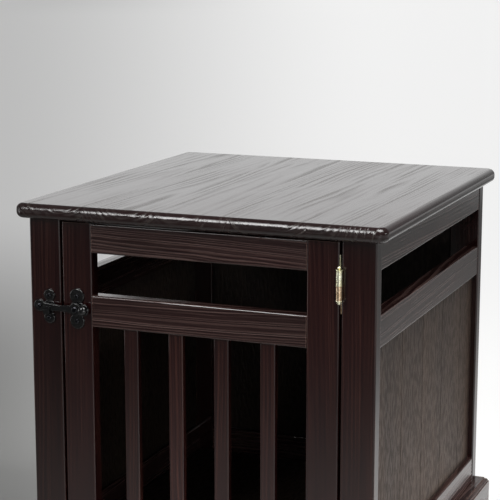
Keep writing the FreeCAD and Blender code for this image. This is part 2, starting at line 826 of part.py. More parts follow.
def make_keeper():
    """A three-lobed plate on the post with an open hook across its middle."""
    body = new_body("latch_keeper")
    shape = add_boss(body, ("0", "0"), "keeper_hub", "0", "plate_thick")
    for lobe in KEEPER_LOBES:
        shape = add_boss(body, lobe, "keeper_lobe", "0", "plate_thick")
    soften_front(body, shape, "plate_round")
    ledge = "-(bar_end_height / 2 + hook_clear)"
    inner = "-(lever_front + hook_clear)"
    outer = f"{inner} - hook_lip"
    under = f"{ledge} - hook_floor"
    rim = f"{ledge} + hook_lip_height"
    hook = sketch(body, "X")
    polygon(hook, [("-plate_thick", under), (outer, under), (outer, rim), (inner, rim), (inner, ledge),
                   ("-plate_thick", ledge)])
    pad(body, hook, "hook_width")
    cut_latch_holes(body, KEEPER_LOBES, "dome_radius + screw_clear")
    place(body, ("keeper_x", "-half_depth", "latch_z"))


def make_latch_plate():
    """The plate on the door: lobes above and below, and a boss that the lever turns against."""
    body = new_body("latch_plate")
    shape = add_boss(body, ("0", "0"), "latch_hub", "0", "plate_thick")
    for lobe in LATCH_LOBES:
        shape = add_boss(body, lobe, "latch_lobe", "0", "plate_thick")
    soften_front(body, shape, "plate_round")
    add_boss(body, ("0", "0"), "latch_boss", "0", "plate_thick + latch_boss_height")
    cut_latch_holes(body, LATCH_LOBES, "dome_radius + screw_clear")
    cut_latch_holes(body, [("0", "0")], "pivot_radius + pivot_fit")
    place(body, ("-stile_x", "-half_depth", "latch_z"))


def make_lever():
    """The waisted bar that drops into the hook, with a thumb knob beyond its pivot."""
    body = new_body("latch_lever")
    bar = sketch(body, "Y", "-(lever_back + lever_front) / 2")
    end = "bar_end_height / 2"
    waist = "bar_waist_height / 2"
    polygon(bar, [("0", f"-{end}"), ("0", end), ("-bar_length / 2", waist), ("-bar_length", end),
                  ("-bar_length", f"-{end}"), ("-bar_length / 2", f"-{waist}")])
    strip = pad(body, bar, "lever_thick")
    halfway = lies_at("X", strip.Shape.BoundBox.Center.x)
    round_edges(body, strip, edges_where(strip.Shape, runs_along("Y"), halfway), "bar_waist_round")
    add_boss(body, ("0", "0"), "lever_hub", "lever_back", "lever_front")
    shape = add_boss(body, ("thumb_reach", "0"), "thumb_radius", "lever_back", "lever_front")
    soften_front(body, shape, "lever_round")
    knob = add_boss(body, ("thumb_reach", "0"), "knob_radius", "lever_front", "lever_front + knob_height")
    soften_front(body, knob, "knob_round")
    cut_latch_holes(body, [("0", "0")], "pivot_radius + pivot_fit")
    place(body, ("-stile_x", "-half_depth", "latch_z"))


def make_latch_fasteners():
    reach = "lever_front + lever_gap"
    pivot = dome_screw("pivot_rivet", "pivot_head", "pivot_head_height", "pivot_radius", reach)
    group("latch_pivot", pivot, [("-stile_x", f"-half_depth - ({reach})", "latch_z")], -AXES["Y"])
    screw = dome_screw("latch_screw", "dome_head", "dome_head_height", "dome_radius",
                       "plate_thick + dome_length - pilot_spare")
    y = "-half_depth - plate_thick"
    for label, middle, lobes in (("keeper_screws", "keeper_x", KEEPER_LOBES),
                                 ("latch_plate_screws", "-stile_x", LATCH_LOBES)):
        spots = [(f"{middle} + ({across})", y, f"latch_z + ({up})") for across, up in lobes]
        group(label, screw, spots, -AXES["Y"])


make_posts()
make_frame_rails()
make_panels()
make_top()
make_corner_blocks()
make_base()
make_floor()
make_door_stop()
make_door()
make_hinge("upper", "hinge_high")
make_hinge("lower", "hinge_low")
make_hinge_screws()
make_keeper()
make_latch_plate()
make_lever()
make_latch_fasteners()
doc.recompute()

# Nothing is written unless every feature came out whole.
for item in doc.Objects:
    if {"Invalid", "Error"} & set(item.State):
        raise RuntimeError(f"{item.Label} failed: {item.State}")
for node in nodes:
    if node.Shape.isNull() or not node.Shape.isValid():
        raise RuntimeError(f"{node.Label} has no valid shape")

os.makedirs("parts", exist_ok=True)
for node in nodes:
    node.Shape.exportStep(f"parts/{node.Label}.step")
print(f"{len(nodes)} nodes, {sum(len(node.Shape.Solids) for node in nodes)} solids")
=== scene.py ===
# %% [markdown]
# A pet crate that doubles as an end table: espresso-stained pine with grooved plywood panels, a slatted
# door on brass pin hinges and a black iron drop latch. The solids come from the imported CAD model, already
# in metres and in place, so this lesson is about light, camera and finishes. We load the model first and
# keep its box.

# %% Load the crate
import json
import math
import random

import bmesh
import bpy
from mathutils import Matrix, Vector


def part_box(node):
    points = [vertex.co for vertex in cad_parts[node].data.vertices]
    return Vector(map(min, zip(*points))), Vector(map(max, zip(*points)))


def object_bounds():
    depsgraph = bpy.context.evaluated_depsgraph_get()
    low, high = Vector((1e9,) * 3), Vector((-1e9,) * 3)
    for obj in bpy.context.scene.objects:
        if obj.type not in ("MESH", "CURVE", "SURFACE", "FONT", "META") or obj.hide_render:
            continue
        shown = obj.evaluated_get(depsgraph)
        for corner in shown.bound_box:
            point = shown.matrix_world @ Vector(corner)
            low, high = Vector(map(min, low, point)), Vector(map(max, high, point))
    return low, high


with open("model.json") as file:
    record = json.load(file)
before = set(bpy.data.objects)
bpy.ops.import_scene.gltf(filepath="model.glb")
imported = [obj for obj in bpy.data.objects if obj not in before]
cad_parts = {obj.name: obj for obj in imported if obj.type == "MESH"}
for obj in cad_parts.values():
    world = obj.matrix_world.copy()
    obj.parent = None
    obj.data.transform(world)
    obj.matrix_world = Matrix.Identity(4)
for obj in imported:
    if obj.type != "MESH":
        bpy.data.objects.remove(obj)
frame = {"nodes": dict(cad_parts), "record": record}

nodes = frame["nodes"]
cad_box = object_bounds()
print(f"{len(nodes)} pieces, box {[round(side, 3) for side in cad_box[1] - cad_box[0]]} m")

# %% [markdown]
# The photograph looks slightly down on the crate from its right. A camera could be set by eye, but the
# crate's edges are straight and its sizes are known, so the place, the two angles and the focal length
# were fitted to those edges. The focal length is in pixels of a 500-pixel frame; Blender wants
# millimetres on its sensor. The Standard view shows colours as they are written.

# %% Camera
FRAME_PIXELS = 500
FOCAL_PIXELS = 1630
SENSOR_MM = 36
CAMERA_PLACE = (0.7899, -2.0228, 0.8759)
CAMERA_YAW = 22.08
CAMERA_PITCH = 11.10

lens = bpy.data.cameras.new("photo_camera")
lens.sensor_width = SENSOR_MM
lens.lens = FOCAL_PIXELS * SENSOR_MM / FRAME_PIXELS
camera = bpy.data.objects.new("photo_camera", lens)
camera.location = CAMERA_PLACE
camera.rotation_euler = (math.radians(90 - CAMERA_PITCH), 0, math.radians(CAMERA_YAW))
bpy.context.collection.objects.link(camera)
bpy.context.scene.camera = camera
bpy.context.scene.view_settings.view_transform = "Standard"
print(f"camera lens {lens.lens:.1f} mm")

# %% [markdown]
# Materials are node trees. Each could be wired by hand in the node editor, but a script can be read and
# run again, and a few helpers are enough for all of them. One turns a colour written as sRGB hex into the
# linear numbers that shaders use, and one adds a node, sets its options and joins or fills its inputs. A
# Mix node has sockets for numbers, vectors and colours, so the places of the colour ones get names.
# Patterns are sized in millimetres, while a texture wants the number of repeats in a metre.

# %% Helpers for materials
MM_IN_METRE = 1000
FACTOR, COLOUR_A, COLOUR_B, MIXED = 0, 6, 7, 2


def linear(hex_colour):
    channels = [int(hex_colour[start:start + 2], 16) / 255 for start in (1, 3, 5)]
    curve = [c / 12.92 if c <= 0.04045 else ((c + 0.055) / 1.055) ** 2.4 for c in channels]
    return (*curve, 1)


def per_metre(size_mm):
    return MM_IN_METRE / size_mm


def add(tree, kind, inputs=None, **settings):
    node = tree.nodes.new(kind)
    for name, value in settings.items():
        setattr(node, name, value)
    for socket, value in (inputs or {}).items():
        if isinstance(value, bpy.types.NodeSocket):
            tree.links.new(value, node.inputs[socket])
        else:
            node.inputs[socket].default_value = value
    return node


def new_material(name):
    material = bpy.data.materials.new(name)
    material.use_nodes = True
    tree = material.node_tree
    return material, tree, tree.nodes["Principled BSDF"]


print("half grey in linear light:", [round(c, 3) for c in linear("#808080")[:3]])

# %% [markdown]
# The studio is a wide floor of light grey matt paper. A floor and a wall would meet in a line behind the
# crate, so one disc is used that runs out of the picture. Matt paper has no highlights and shows only
# light and shadow. The floor belongs to the stage and not to the crate.

# %% Floor
FLOOR_RADIUS = 30
FLOOR_SIDES = 64
PAPER = "#9E9E9C"
PAPER_ROUGHNESS = 0.9

shape = bmesh.new()
bmesh.ops.create_circle(shape, cap_ends=True, radius=FLOOR_RADIUS, segments=FLOOR_SIDES)
floor_mesh = bpy.data.meshes.new("studio_floor")
shape.to_mesh(floor_mesh)
shape.free()
floor = bpy.data.objects.new("studio_floor", floor_mesh)
bpy.context.collection.objects.link(floor)

paper, tree, surface = new_material("matt_studio_paper")
surface.inputs["Base Color"].default_value = linear(PAPER)
surface.inputs["Roughness"].default_value = PAPER_ROUGHNESS
floor_mesh.materials.append(paper)
print("floor radius", FLOOR_RADIUS, "m")

# %% [markdown]
# The backdrop in the photograph goes from grey on the left to white on the right, because it has lamps of
# its own. Real lamps for it would light the crate too, so the paper is given a glow instead. It is laid
# out on the floor as the camera looks across it: depth runs away from the camera and across runs to its
# right. The picture takes in more floor further off, so turn is across, measured in a width that grows
# with depth.

# %% Places on the floor
NEAR_SPREAD = 0.4
FAR_SPREAD = 2.6
FAR_DEPTH = 15

yaw = math.radians(CAMERA_YAW)
sideways = (math.cos(yaw), math.sin(yaw), 0)
away = (-math.sin(yaw), math.cos(yaw), 0)
place = add(tree, "ShaderNodeTexCoord").outputs["Object"]
across = add(tree, "ShaderNodeVectorMath", {0: place, 1: sideways}, operation="DOT_PRODUCT").outputs["Value"]
depth = add(tree, "ShaderNodeVectorMath", {0: place, 1: away}, operation="DOT_PRODUCT").outputs["Value"]
spread = add(tree, "ShaderNodeMapRange", {"Value": depth, "From Max": FAR_DEPTH, "To Min": NEAR_SPREAD,
                                          "To Max": FAR_SPREAD}).outputs["Result"]
turn = add(tree, "ShaderNodeMath", {0: across, 1: spread}, operation="DIVIDE").outputs["Value"]
print("away from the camera is", [round(part, 3) for part in away])

# %% [markdown]
# Behind the crate the glow comes up over about a metre, so that the paper close to the crate stays plain
# and takes its shadow. It is dark at the near left, grey at the far left and white at the right. Past the
# right edge of the picture it dims again, or it would lie as a pale sheen on the crate's side.

# %% Glow behind the crate
GLOW_LEFT_NEAR = "#2C2C2C"
GLOW_LEFT_FAR = "#ABABAB"
GLOW_RIGHT = "#E6E6E6"
GLOW_START, GLOW_FULL = -0.6, 0.6
LEFT_START, LEFT_FULL = 0.3, 3.0
LIT_START, LIT_FULL = -1.15, 0.55
PAST_START, PAST_FULL = 1.1, 2.2
PAST_SHARE = 0.12

lit = add(tree, "ShaderNodeMapRange", {"Value": turn, "From Min": LIT_START, "From Max": LIT_FULL},
          interpolation_type="SMOOTHSTEP").outputs["Result"]
past = add(tree, "ShaderNodeMapRange", {"Value": turn, "From Min": PAST_START, "From Max": PAST_FULL,
                                        "To Min": 1, "To Max": PAST_SHARE},
           interpolation_type="SMOOTHSTEP").outputs["Result"]
far = add(tree, "ShaderNodeMapRange", {"Value": depth, "From Min": GLOW_START, "From Max": GLOW_FULL},
          interpolation_type="SMOOTHSTEP").outputs["Result"]
dim = add(tree, "ShaderNodeMapRange", {"Value": depth, "From Min": LEFT_START, "From Max": LEFT_FULL},
          interpolation_type="SMOOTHSTEP").outputs["Result"]
left = add(tree, "ShaderNodeMix", {FACTOR: dim, COLOUR_A: linear(GLOW_LEFT_NEAR),
                                   COLOUR_B: linear(GLOW_LEFT_FAR)}, data_type="RGBA").outputs[MIXED]
glow = add(tree, "ShaderNodeMix", {FACTOR: lit, COLOUR_A: left, COLOUR_B: linear(GLOW_RIGHT)},
           data_type="RGBA").outputs[MIXED]
power = add(tree, "ShaderNodeMath", {0: far, 1: past}, operation="MULTIPLY").outputs["Value"]
print("glow behind the crate:", GLOW_LEFT_NEAR, GLOW_LEFT_FAR, GLOW_RIGHT)

# %% [markdown]
# Seen from behind or from the sides, that floor would end in the dark. So the paper glows further out as
# well, in front of the crate and beyond the right of the picture. This glow starts a few metres off,
# where the front of the crate hardly mirrors it to the camera, and nearer on the right flank, which the
# front doesn't mirror.

# %% Glow all round
GLOW_AROUND = "#C6C6C6"
AROUND_START, AROUND_FULL = 2.8, 4.5
FRONT_START, FRONT_FULL = 0.5, -1.5
BESIDE_START, BESIDE_FULL = 1.6, 2.4
FLANK_START, FLANK_FULL = 0.7, 1.7
FLANK_NEARER = 2.2

distance = add(tree, "ShaderNodeVectorMath", {0: place}, operation="LENGTH").outputs["Value"]
flank = add(tree, "ShaderNodeMath", {0: across, 1: depth}, operation="SUBTRACT").outputs["Value"]
nearer = add(tree, "ShaderNodeMapRange", {"Value": flank, "From Min": FLANK_START, "From Max": FLANK_FULL,
                                          "To Min": 1, "To Max": FLANK_NEARER}).outputs["Result"]
reach = add(tree, "ShaderNodeMath", {0: distance, 1: nearer}, operation="MULTIPLY").outputs["Value"]
outer = add(tree, "ShaderNodeMapRange", {"Value": reach, "From Min": AROUND_START, "From Max": AROUND_FULL},
            interpolation_type="SMOOTHSTEP").outputs["Result"]
front = add(tree, "ShaderNodeMapRange", {"Value": depth, "From Min": FRONT_START,
                                         "From Max": FRONT_FULL}).outputs["Result"]
beside = add(tree, "ShaderNodeMapRange", {"Value": turn, "From Min": BESIDE_START,
                                          "From Max": BESIDE_FULL}).outputs["Result"]
sides = add(tree, "ShaderNodeMath", {0: front, 1: beside}, operation="MAXIMUM").outputs["Value"]
around = add(tree, "ShaderNodeMath", {0: sides, 1: outer}, operation="MULTIPLY").outputs["Value"]
glow = add(tree, "ShaderNodeMix", {FACTOR: around, COLOUR_A: glow, COLOUR_B: linear(GLOW_AROUND)},
           data_type="RGBA").outputs[MIXED]
power = add(tree, "ShaderNodeMath", {0: power, 1: around}, operation="MAXIMUM").outputs["Value"]
print("glow all round from", AROUND_START, "m")

# %% [markdown]
# The glow is for the eye only: the camera, reflections and rays through glass see it, and it lights
# nothing. The paper under it is still lit by the lamps, so both shaders are added.

# %% Glow for camera and reflections
rays = add(tree, "ShaderNodeLightPath").outputs
seen = add(tree, "ShaderNodeMath", {0: rays["Is Camera Ray"], 1: rays["Is Glossy Ray"]}, operation="MAXIMUM")
seen = add(tree, "ShaderNodeMath", {0: seen.outputs["Value"], 1: rays["Is Transmission Ray"]},
           operation="MAXIMUM").outputs["Value"]
power = add(tree, "ShaderNodeMath", {0: power, 1: seen}, operation="MULTIPLY").outputs["Value"]
lamp = add(tree, "ShaderNodeEmission", {"Color": glow, "Strength": power})
both = add(tree, "ShaderNodeAddShader", {0: surface.outputs["BSDF"], 1: lamp.outputs["Emission"]})
tree.links.new(both.outputs["Shader"], tree.nodes["Material Output"].inputs["Surface"])
print("paper has", len(tree.nodes), "nodes")

# %% [markdown]
# The room is dim, with a bright low band behind the crate. The table top is seen at a low angle, so it
# mirrors that band as a pale sheen, while the front stays deep brown and only picks up the floor. A
# picture of a studio could stand in for the room, but two ramps on the direction of the look are enough.
# The band is low enough for the rounded edges of the top to turn away from it.

# %% Room
ROOM = 0.18
BACKDROP = 1.05
BAND_START, BAND_FULL = 0.75, 0.93
LOW_START, LOW_FULL = 0.42, 0.24

world = bpy.data.worlds.new("studio_room")
world.use_nodes = True
bpy.context.scene.world = world
tree = world.node_tree
sky = tree.nodes["Background"]
look = add(tree, "ShaderNodeTexCoord").outputs["Generated"]
behind = add(tree, "ShaderNodeVectorMath", {0: look, 1: away}, operation="DOT_PRODUCT").outputs["Value"]
height = add(tree, "ShaderNodeSeparateXYZ", {0: look}).outputs["Z"]
band = add(tree, "ShaderNodeMapRange", {"Value": behind, "From Min": BAND_START, "From Max": BAND_FULL},
           interpolation_type="SMOOTHSTEP").outputs["Result"]
low = add(tree, "ShaderNodeMapRange", {"Value": height, "From Min": LOW_START, "From Max": LOW_FULL},
          interpolation_type="SMOOTHSTEP").outputs["Result"]
screen = add(tree, "ShaderNodeMath", {0: band, 1: low}, operation="MULTIPLY").outputs["Value"]
level = add(tree, "ShaderNodeMapRange", {"Value": screen, "To Min": ROOM, "To Max": BACKDROP})
tree.links.new(level.outputs["Result"], sky.inputs["Strength"])
sky.inputs["Color"].default_value = (1, 1, 1, 1)
print("room", ROOM, "backdrop", BACKDROP)

# %% [markdown]
# Point lamps would leave small hard glints on the lacquer, so five softboxes light the crate, all with
# grids that narrow their beams. One hangs overhead, to the right and in front, near enough for its pool
# of light to fall off quickly along the floor. Two small ones, at the right and in front, point at the
# foot of the crate and bring out the brown of the lower side and front. The last two stand at the front
# left and can't be seen in the flat front, only in what is rounded: the high strip draws the bright line
# on the front of the top, and the upright one the lines on standing edges and the glints on the metals.

# %% Softboxes
def softbox(name, place, target, width, height, watts, spread):
    lamp = bpy.data.lights.new(name, "AREA")
    lamp.shape = "RECTANGLE"
    lamp.size = width
    lamp.size_y = height
    lamp.energy = watts
    lamp.spread = math.radians(spread)
    holder = bpy.data.objects.new(name, lamp)
    holder.location = place
    holder.rotation_euler = (Vector(target) - Vector(place)).to_track_quat("-Z", "Y").to_euler()
    bpy.context.collection.objects.link(holder)


softbox("overhead_softbox", place=(0.6, -0.5, 1.7), target=(0.4, -0.35, 0),
        width=0.9, height=0.9, watts=13, spread=110)
softbox("side_softbox", place=(1.6, 0.1, 0.6), target=(0.3, 0, -0.12),
        width=0.7, height=0.5, watts=3.2, spread=45)
softbox("low_softbox", place=(0.9, -1.4, 0.3), target=(0, -0.3, -0.2),
        width=0.6, height=0.4, watts=2.3, spread=60)
softbox("high_strip", place=(-0.62, -1.6, 1.95), target=(0.15, -0.2, 1.0),
        width=0.6, height=2.0, watts=7.5, spread=60)
softbox("left_strip", place=(-1.3, -0.8, 0.45), target=(0.19, -0.26, 0.43),
        width=0.25, height=0.9, watts=0.4, spread=60)

# %% [markdown]
# The boards are sawn pine. On the real wood the yearly rings are tubes around the middle of the trunk,
# and a board is a flat cut through them. A flat stripe pattern could stand in for that, but a solid
# pattern of rings also gives the right end grain and meets at every edge. Growth wanders, so the rings
# are pushed about by noise in two sizes. Wood is long along its grain, and so is its noise: it is read
# with that axis scaled down.

# %% Wandering growth
WANDER_MM, WANDER_ALONG, WANDER_REACH = 60, 0.1, 0.02
RIPPLE_MM, RIPPLE_ALONG, RIPPLE_REACH = 18, 0.2, 0.003
WANDER_DETAIL = 2
NOISE_MIDDLE = (0.5, 0.5, 0.5)


def grain_scale(grain, along):
    scale = [1, 1, 1]
    scale[grain] = along
    return scale


def grain_noise(tree, source, grain, size_mm, along, detail):
    drawn_out = add(tree, "ShaderNodeMapping", {"Vector": source, "Scale": grain_scale(grain, along)})
    return add(tree, "ShaderNodeTexNoise", {"Vector": drawn_out.outputs["Vector"],
                                            "Scale": per_metre(size_mm), "Detail": detail})


def pushed(tree, source, grain, noise_mm, along, reach):
    noise = grain_noise(tree, source, grain, noise_mm, along, WANDER_DETAIL)
    drift = add(tree, "ShaderNodeVectorMath", {0: noise.outputs["Color"], 1: NOISE_MIDDLE},
                operation="SUBTRACT").outputs["Vector"]
    return add(tree, "ShaderNodeVectorMath", {0: drift, 1: (reach, reach, reach), 2: source},
               operation="MULTIPLY_ADD").outputs["Vector"]


print("growth wanders over", WANDER_MM, "mm and ripples over", RIPPLE_MM, "mm")

# %% [markdown]
# The distance from the middle of the trunk, counted in ring widths, is the year. A Wave texture would
# give rings too, but all alike, and no two years grow alike, so noise over the years makes some rings
# wider, and a random number for each year makes some stronger. Within a year the wood gets denser slowly
# towards autumn and then stops at once. Dense wood takes up less stain, so the late wood is the paler
# line. Knots push the rings aside, and the lines fade in and out along the board.

# %% Year lines
KNOT_EDGE, KNOT_HEART, KNOT_PUSH = 0.17, 0.02, 0.01
YEAR_RATE, YEAR_SHIFT = 0.35, 2.5
RISE_START, RISE_FULL = 0.25, 0.8
FALL_START, FALL_END = 0.88, 1
FAINTEST = 0.25
FADE_MM, FADE_ALONG, FADE_DETAIL = 28, 0.15, 2
FADE_START, FADE_FULL = 0.38, 0.58


def counted_years(tree, log, grain, ring_mm, knots):
    moved = pushed(tree, log, grain, WANDER_MM, WANDER_ALONG, WANDER_REACH)
    moved = pushed(tree, moved, grain, RIPPLE_MM, RIPPLE_ALONG, RIPPLE_REACH)
    near = add(tree, "ShaderNodeMapRange", {"Value": knots, "From Min": KNOT_EDGE, "From Max": KNOT_HEART,
                                            "To Max": KNOT_PUSH}, interpolation_type="SMOOTHSTEP")
    bent = add(tree, "ShaderNodeVectorMath", {0: (1, 1, 1), 1: near.outputs["Result"], 2: moved},
               operation="MULTIPLY_ADD").outputs["Vector"]
    cross_cut = add(tree, "ShaderNodeMapping", {"Vector": bent, "Scale": grain_scale(grain, 0)})
    radius = add(tree, "ShaderNodeVectorMath", {0: cross_cut.outputs["Vector"]},
                 operation="LENGTH").outputs["Value"]
    years = add(tree, "ShaderNodeMath", {0: radius, 1: per_metre(ring_mm)},
                operation="MULTIPLY").outputs["Value"]
    uneven = add(tree, "ShaderNodeTexNoise", {"W": years, "Scale": YEAR_RATE}, noise_dimensions="1D")
    return add(tree, "ShaderNodeMath", {0: uneven.outputs["Fac"], 1: YEAR_SHIFT, 2: years},
               operation="MULTIPLY_ADD").outputs["Value"]


def year_lines(tree, log, grain, ring_mm, steady, knots):
    years = counted_years(tree, log, grain, ring_mm, knots)
    season = add(tree, "ShaderNodeMath", {0: years}, operation="FRACT").outputs["Value"]
    year = add(tree, "ShaderNodeMath", {0: years}, operation="FLOOR").outputs["Value"]
    chance = add(tree, "ShaderNodeTexWhiteNoise", {"W": year}, noise_dimensions="1D").outputs["Value"]
    rise = add(tree, "ShaderNodeMapRange", {"Value": season, "From Min": RISE_START, "From Max": RISE_FULL},
               interpolation_type="SMOOTHSTEP").outputs["Result"]
    fall = add(tree, "ShaderNodeMapRange", {"Value": season, "From Min": FALL_END, "From Max": FALL_START},
               interpolation_type="SMOOTHSTEP").outputs["Result"]
    line = add(tree, "ShaderNodeMath", {0: rise, 1: fall}, operation="MULTIPLY").outputs["Value"]
    strength = add(tree, "ShaderNodeMapRange", {"Value": chance, "To Min": FAINTEST}).outputs["Result"]
    line = add(tree, "ShaderNodeMath", {0: line, 1: strength}, operation="MULTIPLY").outputs["Value"]
    fading = grain_noise(tree, log, grain, FADE_MM, FADE_ALONG, FADE_DETAIL).outputs["Fac"]
    shown = add(tree, "ShaderNodeMapRange", {"Value": fading, "From Min": FADE_START, "From Max": FADE_FULL,
                                             "To Min": steady}).outputs["Result"]
    return add(tree, "ShaderNodeMath", {0: line, 1: shown}, operation="MULTIPLY").outputs["Value"]


print("lines fade over", FADE_MM, "mm")

# %% [markdown]
# A wide top isn't one plank: it is glued up from staves side by side. They could be separate pieces, but
# once glued and sanded they are one board, so they are only in the pattern. It is divided into strips,
# and each strip is moved by a random amount to a trunk of its own, most of all along the grain.

# %% Staves of the top
STAVE_MM = 98
FIRST_STAVE = 0.5
STAVE_SHIFT, STAVE_SHIFT_WIDE, STAVE_SHIFT_ALONG = 0.03, 0.08, 3


def split_into_staves(tree, place, log, wide, grain):
    side = add(tree, "ShaderNodeSeparateXYZ", {0: place}).outputs["XYZ"[wide]]
    count = add(tree, "ShaderNodeMath", {0: side, 1: per_metre(STAVE_MM), 2: FIRST_STAVE},
                operation="MULTIPLY_ADD")
    number = add(tree, "ShaderNodeMath", {0: count.outputs["Value"]}, operation="FLOOR").outputs["Value"]
    chance = add(tree, "ShaderNodeTexWhiteNoise", {"W": number}, noise_dimensions="1D").outputs["Color"]
    centre = Vector((0, 0, 0))
    centre[wide] = -STAVE_MM / MM_IN_METRE
    log = add(tree, "ShaderNodeVectorMath", {0: number, 1: centre, 2: log},
              operation="MULTIPLY_ADD").outputs["Vector"]
    shift = Vector((STAVE_SHIFT, STAVE_SHIFT, STAVE_SHIFT))
    shift[wide] = STAVE_SHIFT_WIDE
    shift[grain] = STAVE_SHIFT_ALONG
    return add(tree, "ShaderNodeVectorMath", {0: chance, 1: shift, 2: log},
               operation="MULTIPLY_ADD").outputs["Vector"]


print("staves", STAVE_MM, "mm wide")

# %% [markdown]
# Over the rings comes an espresso stain. One dark colour would look like paint. A stain soaks in
# unevenly, in clouds and along fine fibres, and stays darker in the hearts of knots. Along the edges it
# was rubbed thin before the lacquer went on, so they are a shade lighter, and the lighter colour is also
# a painted highlight along the rounded edges. The Bevel node finds them, because there its rounded normal
# leaves the flat one.

# %% Stain
STAIN = "#130506"
EDGE_COLOUR = "#6A544C"
EDGE_MM, EDGE_SAMPLES = 1.6, 4
EDGE_START, EDGE_FULL, EDGE_SHARE = 0.99, 0.8, 0.7
CLOUD_LOW, CLOUD_HIGH = 0.3, 0.7
TAKE_UP_LOW, TAKE_UP_HIGH = 0.7, 1.3
HEART_START, HEART_END, HEART_SHADE = 0.025, 0.06, 0.4


def stain_coat(tree, pale, cloud, knots, line_colour, tone):
    colour = add(tree, "ShaderNodeMix", {FACTOR: pale, COLOUR_A: linear(STAIN),
                                         COLOUR_B: linear(line_colour)}, data_type="RGBA").outputs[MIXED]
    take_up = add(tree, "ShaderNodeMapRange", {"Value": cloud, "From Min": CLOUD_LOW, "From Max": CLOUD_HIGH,
                                               "To Min": TAKE_UP_LOW * tone, "To Max": TAKE_UP_HIGH * tone})
    heart = add(tree, "ShaderNodeMapRange", {"Value": knots, "From Min": HEART_START, "From Max": HEART_END,
                                             "To Min": HEART_SHADE}).outputs["Result"]
    shade = add(tree, "ShaderNodeMath", {0: take_up.outputs["Result"], 1: heart}, operation="MULTIPLY")
    return add(tree, "ShaderNodeVectorMath", {0: colour, "Scale": shade.outputs["Value"]},
               operation="SCALE").outputs["Vector"]


# Lightens the edges: partly rubbed wear, partly a painted highlight along the rounded edges.
def rubbed_and_highlit_edges(tree, colour):
    rounded = add(tree, "ShaderNodeBevel", {"Radius": EDGE_MM / MM_IN_METRE},
                  samples=EDGE_SAMPLES).outputs["Normal"]
    flat = add(tree, "ShaderNodeNewGeometry").outputs["Normal"]
    match = add(tree, "ShaderNodeVectorMath", {0: rounded, 1: flat}, operation="DOT_PRODUCT")
    wear_and_painted_highlight = add(tree, "ShaderNodeMapRange", {"Value": match.outputs["Value"], "From Min": EDGE_START,
                                            "From Max": EDGE_FULL, "To Max": EDGE_SHARE}).outputs["Result"]
    return add(tree, "ShaderNodeMix", {FACTOR: wear_and_painted_highlight, COLOUR_A: colour, COLOUR_B: linear(EDGE_COLOUR)},
               data_type="RGBA").outputs[MIXED]


print("edges rubbed", EDGE_MM, "mm wide")

# %% [markdown]
# The last coat is a semi-gloss lacquer with an index of about 1.5. One even gloss would look like
# plastic. It is duller over the pale late wood and where the stain is thin, and it sinks a little between
# the hard rings: at a low angle that relief shows the grain. On end grain it sinks deeper, which breaks
# up the light along the front of the top.

# %% Lacquer
LACQUER_IOR = 1.5
DULL_CLOUD_SHARE = 0.5
DULL_START, DULL_FULL = 0.15, 1.1
FIBRE_RELIEF_SHARE = 0.4
END_START, END_FULL, END_RELIEF = 0.3, 0.8, 1
GRAIN_DEPTH = 0.0003


def lacquer_gloss(tree, pale, cloud, gloss):
    dull = add(tree, "ShaderNodeMath", {0: cloud, 1: DULL_CLOUD_SHARE, 2: pale}, operation="MULTIPLY_ADD")
    return add(tree, "ShaderNodeMapRange", {"Value": dull.outputs["Value"], "From Min": DULL_START,
                                            "From Max": DULL_FULL, "To Min": gloss[0],
                                            "To Max": gloss[1]}).outputs["Result"]


def lacquer_relief(tree, rings, fibre, grain, face_relief):
    relief = add(tree, "ShaderNodeMath", {0: fibre, 1: FIBRE_RELIEF_SHARE, 2: rings},
                 operation="MULTIPLY_ADD").outputs["Value"]
    facing = add(tree, "ShaderNodeNewGeometry").outputs["Normal"]
    facing = add(tree, "ShaderNodeSeparateXYZ", {0: facing}).outputs["XYZ"[grain]]
    facing = add(tree, "ShaderNodeMath", {0: facing}, operation="ABSOLUTE").outputs["Value"]
    strength = add(tree, "ShaderNodeMapRange", {"Value": facing, "From Min": END_START, "From Max": END_FULL,
                                                "To Min": face_relief, "To Max": END_RELIEF})
    return add(tree, "ShaderNodeBump", {"Height": relief, "Strength": strength.outputs["Result"],
                                        "Distance": GRAIN_DEPTH}).outputs["Normal"]


print(f"grain relief up to {GRAIN_DEPTH * MM_IN_METRE:.1f} mm")

# %% [markdown]
# Stained pine is all of this together. Each board is sawn from its own trunk: the middle of the rings
# lies a little way off the board and is slightly tilted. A trunk off the board's face gives arched grain,
# and one off its edge gives straight grain. The eye gets a deep brown with quiet lines under a soft,
# broken gloss. The fibres of real pine are too fine to show from here, so they are drawn wider than a
# millimetre. The draws come from one seeded source, so every run gives the same boards.

# %% Stained pine
FIBRE_MM, FIBRE_ALONG, FIBRE_DETAIL = 1.6, 0.02, 3
CLOUD_MM, CLOUD_ALONG, CLOUD_DETAIL = 70, 0.25, 4
KNOT_CELL_MM, KNOT_ALONG = 210, 0.5
STREAK_LOW, STREAK_HIGH, STREAK_SHARE = 0.32, 0.68, 0.25
TRUNK_SLIDE = 2
TRUNK_TILT = 1.5
TONES = (0.88, 1.12)
draws = random.Random(11)


